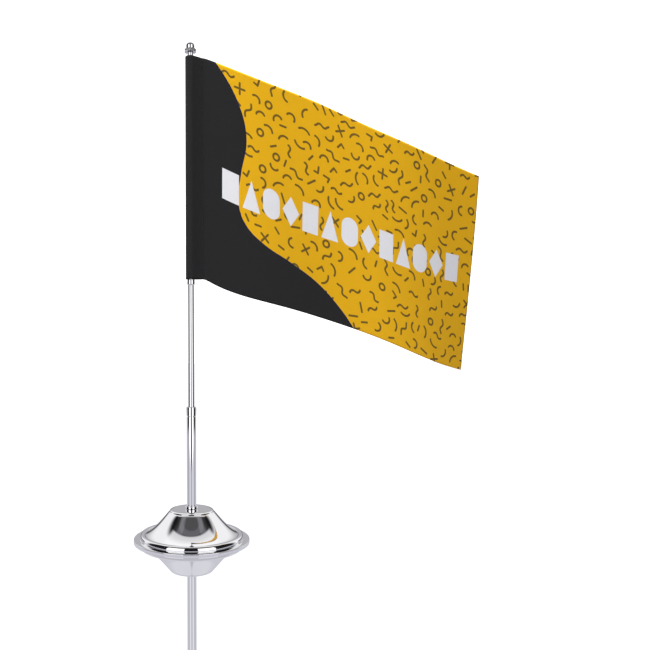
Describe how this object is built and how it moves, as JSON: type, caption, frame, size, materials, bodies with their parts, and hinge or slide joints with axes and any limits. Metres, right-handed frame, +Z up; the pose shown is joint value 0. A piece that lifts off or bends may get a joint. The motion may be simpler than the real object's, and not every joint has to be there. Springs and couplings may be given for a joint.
{
  "type": "desk flag stand",
  "caption": "Telescopic chromed table flagpole on a weighted trumpet base, with a domed cap nut and a sleeved cloth flag.",
  "frame": {"origin": "on the pole's axis at the underside of the felt pad, on the desk", "axes": "+Z up along the pole, +X the way the flag flies from the pole, +Y across the flag"},
  "size_m": [0.3485, 0.1038, 0.4478],
  "materials": {
    "shell_chrome": "polished chrome plate on spun steel",
    "pole_chrome": "polished chrome plate on steel tube",
    "trim_chrome": "polished chrome plate on turned brass",
    "weight_iron": "rough cast iron",
    "pad_felt": "black felt",
    "fastener_steel": "zinc-plated steel",
    "plug_brass": "turned brass",
    "spring_bronze": "rolled bronze strip",
    "liner_nylon": "natural nylon",
    "flag_cloth": "printed knitted polyester, yellow with a black hoist field"
  },
  "bodies": {
    "base": {"base_shell": "shell_chrome", "base_weight": "weight_iron", "felt_pad": "pad_felt", "base_screw": "fastener_steel", "base_washer": "fastener_steel", "lock_washer": "fastener_steel", "foot_ferrule": "trim_chrome", "foot_plug": "plug_brass", "lower_tube": "pole_chrome", "guide_cap": "trim_chrome", "guide_liner": "liner_nylon"},
    "slider": {"friction_spring": "spring_bronze"},
    "upper_pole": {"slide_plug": "plug_brass", "upper_tube": "pole_chrome", "stop_ring": "trim_chrome", "top_stud": "fastener_steel", "cap_nut": "trim_chrome"},
    "flag_cloth": {"flag": "flag_cloth"}
  },
  "joints": [
    {"name": "pole_slide", "type": "slide", "parent": "base", "child": "slider", "axis": [0, 0, 1], "range_m": [-0.052, 0]},
    {"name": "pole_turn", "type": "hinge", "parent": "slider", "child": "upper_pole", "pos_m": [0, 0, 0.1], "axis": [0, 0, 1], "continuous": true},
    {"name": "flag_swing", "type": "hinge", "parent": "upper_pole", "child": "flag_cloth", "pos_m": [0, 0, 0.334], "axis": [0, 0, 1], "continuous": true}
  ]
}
